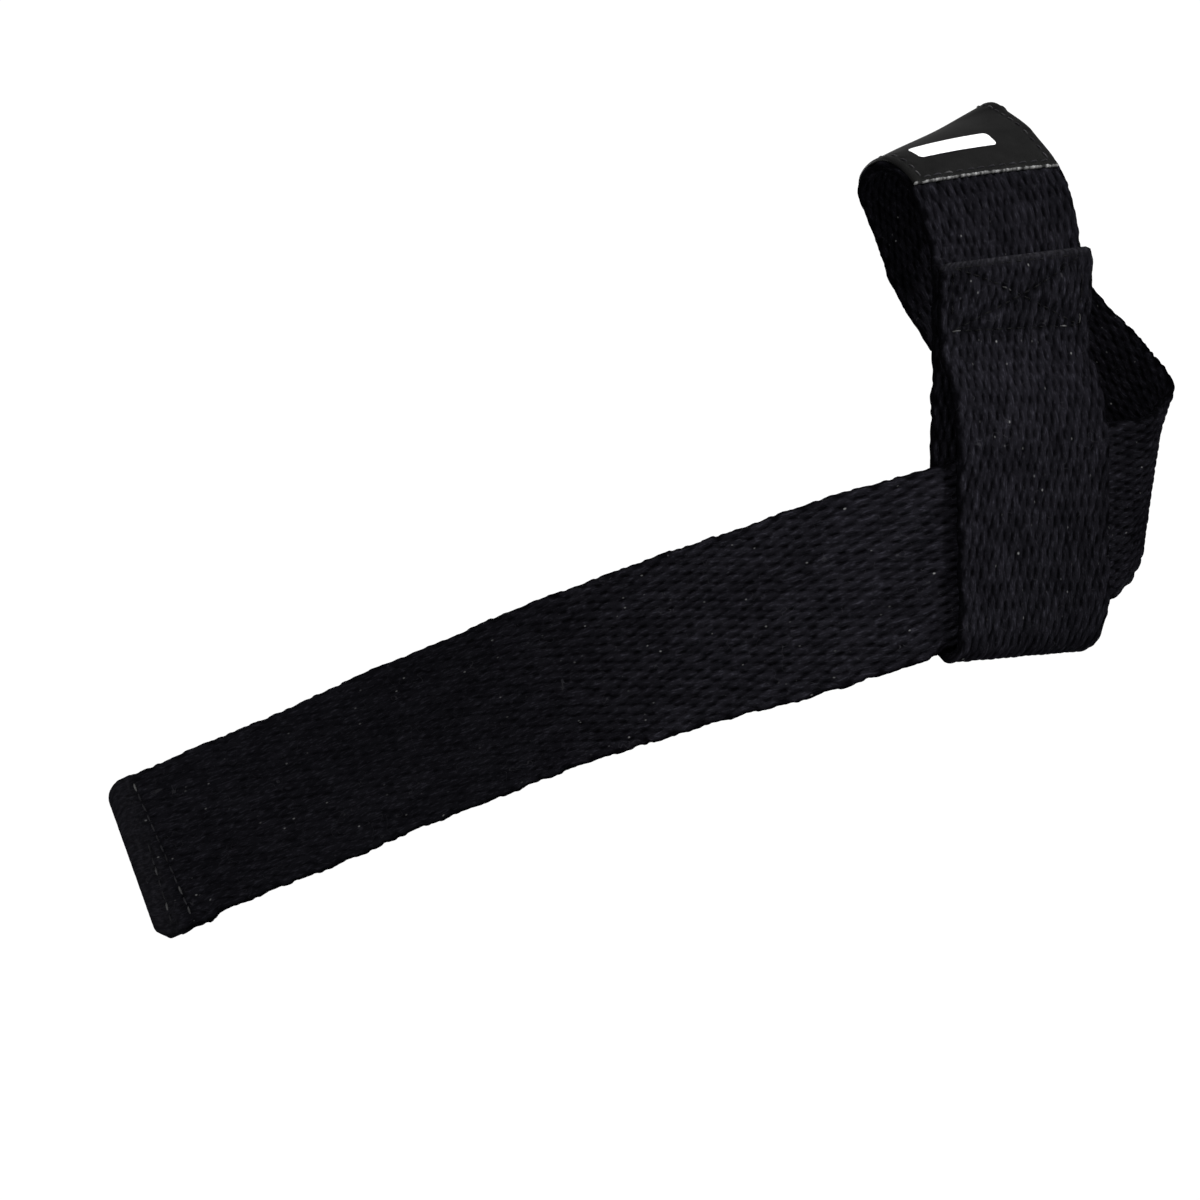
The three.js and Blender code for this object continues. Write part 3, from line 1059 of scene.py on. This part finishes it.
def fine_hairs(tree):
    """1 on thin wandering hairs, in patches."""
    off_line = math_node(tree, "SUBTRACT", noise(tree, "hair"), HAIR_MIDDLE)
    hair = math_node(tree, "LESS_THAN", math_node(tree, "ABSOLUTE", off_line), HAIR_HALF_WIDTH)
    patch = math_node(tree, "GREATER_THAN", noise(tree, "hair_patch"), HAIR_PATCH_FROM)
    return math_node(tree, "MULTIPLY", hair, patch)


def webbing_material():
    """Black cotton: painted shade makes it dark between the floats, in the stitching's dents and on
    the selvedges, a little paler on the floats; with painted glints in thin streaks, plies, fuzz
    and lint.
    """
    material, tree, shader = new_material("cotton_webbing")
    # painted shade: the cloth's black, darkened the lower its point lies
    tone_and_shade = ramp(tree, point_number(tree, "lift"), greys(TONE_AND_SHADE_BY_HEIGHT, BLACK_TINT))
    by_float = ramp(tree, point_number(tree, "luck"), greys(FLOAT_TONES))
    cloud = ramp(tree, noise(tree, "cloud"), greys(CLOUD_TONES))
    # painted glints on thin streaks
    painted_glint = ramp(tree, noise(tree, "painted_glint"), greys(PAINTED_GLINT_TONES))
    clouded = multiplied(tree, multiplied(tree, tone_and_shade, by_float), cloud)
    glinted = multiplied(tree, clouded, painted_glint)
    worn_tone = ramp(tree, noise(tree, "worn"), greys(WORN_TONES, WORN_TINT))
    worn = mix_colour(tree, point_number(tree, "fuzz"), glinted, worn_tone)
    haired = mix_colour(tree, fine_hairs(tree), worn, grey(HAIR_GREY, WORN_TINT))
    linted = mix_colour(tree, lint_specks(tree), haired, grey(LINT_GREY))
    tree.links.new(linted, shader.inputs["Base Color"])
    plies = bands(tree, scale=0.5, distortion=2.0, turn=58.0)
    ply_height = math_node(tree, "MULTIPLY", plies, PLY_SHARE)
    height = math_node(tree, "ADD", ply_height, noise(tree, "fibres"))
    add_bump(tree, shader, height, strength=0.7, distance=0.00025)
    set_gloss(shader, roughness=0.75, specular=0.0)
    return material


# Tones of the label, and its plain bar and cut edge in millimetres
LABEL_DARK_TONES = [(0.3, 0.0038), (0.7, 0.0061)]
LABEL_PALE_TONES = [(0.3, 0.62), (0.7, 0.72)]
LABEL_EDGE_TONES = [(0.42, 0.011), (0.68, 0.22)]
LABEL_BAR_MIDDLE = (-3.0, 9.0)
LABEL_BAR_HALF = (8.5, 1.2)
LABEL_BAR_ROUND = 1.0
LABEL_EDGE = 0.3


def bar_mask(tree, x, y):
    """1 inside a bar with round ends."""
    parts = []
    for value, middle, half in zip((x, y), LABEL_BAR_MIDDLE, LABEL_BAR_HALF):
        away = math_node(tree, "ABSOLUTE", math_node(tree, "SUBTRACT", value, middle))
        beyond = math_node(tree, "MAXIMUM", math_node(tree, "SUBTRACT", away, half), 0.0)
        parts.append(math_node(tree, "MULTIPLY", beyond, beyond))
    distance = math_node(tree, "SQRT", math_node(tree, "ADD", *parts))
    return math_node(tree, "LESS_THAN", distance, LABEL_BAR_ROUND)


def label_material():
    """Smooth satin cloth with a fine weave, one plain pale bar and a pale cut edge."""
    material, tree, shader = new_material("satin_label")
    split = add_node(tree, "ShaderNodeSeparateXYZ")
    tree.links.new(scaled_uv(tree, MILLIMETRES), split.inputs[0])
    cloud = noise(tree, "label_cloud")
    dark = ramp(tree, cloud, greys(LABEL_DARK_TONES))
    pale = ramp(tree, cloud, greys(LABEL_PALE_TONES))
    bar = bar_mask(tree, split.outputs["X"], split.outputs["Y"])
    barred = mix_colour(tree, bar, dark, pale)
    ragged = math_node(tree, "MULTIPLY", noise(tree, "label_ragged"), 2 * LABEL_EDGE)
    cut_edge = math_node(tree, "LESS_THAN", split.outputs["Y"], ragged)
    edge_tone = ramp(tree, noise(tree, "label_edge"), greys(LABEL_EDGE_TONES))
    edged = mix_colour(tree, cut_edge, barred, edge_tone)
    tree.links.new(edged, shader.inputs["Base Color"])
    twill = bands(tree, scale=0.9, distortion=0.4, turn=40.0)
    add_bump(tree, shader, twill, strength=0.18, distance=0.00008)
    set_gloss(shader, roughness=0.55, specular=0.012)
    return material


# Tones of the thread, and the scale of its fibres in the scene's metres
THREAD_MIDDLE_GAIN = 1.4
THREAD_MOTTLE = [(0.3, 0.5), (0.7, 1.5)]
THREAD_FIBRE_SCALE = 900.0
THREAD_FIBRE_DETAIL = 3.0


def thread_material(name, dim, bright, bright_from):
    """Sewing thread: most stitches dim, the rest painted bright as glints of light on the thread.
    """
    material, tree, shader = new_material(name)
    stops = greys([(0.0, dim), (bright_from, THREAD_MIDDLE_GAIN * dim)], WORN_TINT)
    tone = ramp(tree, point_number(tree, "luck"), stops + greys([(1.0, bright)]))
    place = add_node(tree, "ShaderNodeTexCoord").outputs["Object"]
    fibres = add_node(tree, "ShaderNodeTexNoise")
    fibres.inputs["Scale"].default_value = THREAD_FIBRE_SCALE
    fibres.inputs["Detail"].default_value = THREAD_FIBRE_DETAIL
    tree.links.new(place, fibres.inputs["Vector"])
    mottle = ramp(tree, fibres.outputs["Fac"], greys(THREAD_MOTTLE))
    tree.links.new(multiplied(tree, tone, mottle), shader.inputs["Base Color"])
    add_bump(tree, shader, fibres.outputs["Fac"], strength=0.4, distance=0.0001)
    set_gloss(shader, roughness=0.5, specular=0.03)
    return material


webbing_look = webbing_material()
label_look = label_material()
# painted highlight: the bright stitches of each seam stand in for glints on the thread
label_stitch_look = thread_material("label_thread_grey", dim=0.0081, bright=0.04, bright_from=0.5)
tab_stitch_look = thread_material("tab_thread_black", dim=0.0011, bright=0.036, bright_from=0.86)
hem_stitch_look = thread_material("hem_thread_grey", dim=0.0072, bright=0.054, bright_from=0.4)
for piece in (strap_eye, strap_wrap, strap_tail):
    piece.data.materials.append(webbing_look)
label_patch.data.materials.append(label_look)
label_thread.data.materials.append(label_stitch_look)
tab_thread.data.materials.append(tab_stitch_look)
hem_thread.data.materials.append(hem_stitch_look)

# What each piece rides on and stands for
PIECES = [
    (strap_eye, "webbing"),
    (strap_wrap, "webbing"),
    (strap_tail, "webbing"),
    (tab_thread, "webbing"),
    (hem_thread, "webbing"),
    (label_patch, "label"),
    (label_thread, "label"),
]
for piece, slot_name in PIECES:
    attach(piece, "root")
for piece in (strap_eye, strap_wrap, strap_tail):
    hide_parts("strap")
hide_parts("label")


# Floor, light and camera, in metres
FLOOR_HEIGHT = -0.32
FLOOR_SIZE = 30.0
FLOOR_GREY = 0.98
WORLD_STRENGTH = 1.05
KEY_PLACE = (0.21, -0.31, 0.26)

# columns: name, place, target, radius, cone in degrees, watts
LAMPS = [
    ("key_high", KEY_PLACE, (-0.014, -0.025, 0.03), 0.04, 11.0, 14.0),
    ("key_middle", KEY_PLACE, (-0.014, -0.028, 0.0), 0.04, 12.0, 12.5),
    ("key_low", KEY_PLACE, (-0.016, -0.03, -0.047), 0.04, 13.0, 15.0),
    ("slope", (-0.2, -0.27, 0.25), (-0.056, -0.025, -0.055), 0.04, 9.2, 36.0),
    ("front", (-0.17, -0.6, 0.2), (-0.188, 0.0, -0.107), 0.05, 14.0, 4.5),
    ("back_right", (0.12, 0.45, 0.1), (0.0, 0.0, -0.01), 0.06, 45.0, 16.0),
    ("back_left", (-0.24, 0.45, 0.1), (-0.12, 0.0, -0.07), 0.06, 45.0, 16.0),
]
CAMERA_PLACE = (-0.095, -0.430, -0.055)
CAMERA_CLIP = 0.01
FOCAL_PIXELS = 1944.0
SIDE_PIXELS = 1200.0
SENSOR = 36.0


def floor_piece():
    """A plain pale floor."""
    half = FLOOR_SIZE / 2
    mesh = bpy.data.meshes.new("floor")
    corners = [(-half, -half, 0.0), (half, -half, 0.0), (half, half, 0.0), (-half, half, 0.0)]
    mesh.from_pydata(corners, [], [(0, 1, 2, 3)])
    floor = bpy.data.objects.new("floor", mesh)
    floor.location = (0.0, 0.0, FLOOR_HEIGHT)
    bpy.context.scene.collection.objects.link(floor)
    material, _, shader = new_material("floor_paper")
    shader.inputs["Base Color"].default_value = (*grey(FLOOR_GREY), 1.0)
    set_gloss(shader, roughness=0.9, specular=0.0)
    floor.data.materials.append(material)


def soft_light(name, place, target, radius, cone, power):
    """A soft round light with a cone that fades from its middle, pointing at a target."""
    light = bpy.data.lights.new(name, "SPOT")
    light.shadow_soft_size = radius
    light.spot_size = math.radians(cone)
    light.spot_blend = 1.0
    light.energy = power
    lamp = bpy.data.objects.new(name, light)
    lamp.location = place
    direction = np.asarray(target, float) - np.asarray(place, float)
    from_down = math.acos(-direction[2] / np.linalg.norm(direction))
    heading = math.atan2(direction[1], direction[0])
    lamp.rotation_euler = (from_down, 0.0, heading - math.pi / 2)
    lamp.visible_camera = False
    bpy.context.scene.collection.objects.link(lamp)


floor_piece()
for lamp_row in LAMPS:
    soft_light(*lamp_row)

world = bpy.data.worlds.new("studio")
world.use_nodes = True
background = world.node_tree.nodes["Background"]
background.inputs["Color"].default_value = (*PLAIN, 1.0)
background.inputs["Strength"].default_value = WORLD_STRENGTH
bpy.context.scene.world = world
bpy.context.scene.view_settings.view_transform = "Standard"

camera_data = bpy.data.cameras.new("camera")
camera_data.sensor_width = SENSOR
camera_data.lens = SENSOR * FOCAL_PIXELS / SIDE_PIXELS
camera_data.clip_start = CAMERA_CLIP
camera = bpy.data.objects.new("camera", camera_data)
camera.location = CAMERA_PLACE
camera.rotation_euler = (math.pi / 2, 0.0, 0.0)
bpy.context.scene.collection.objects.link(camera)
bpy.context.scene.camera = camera
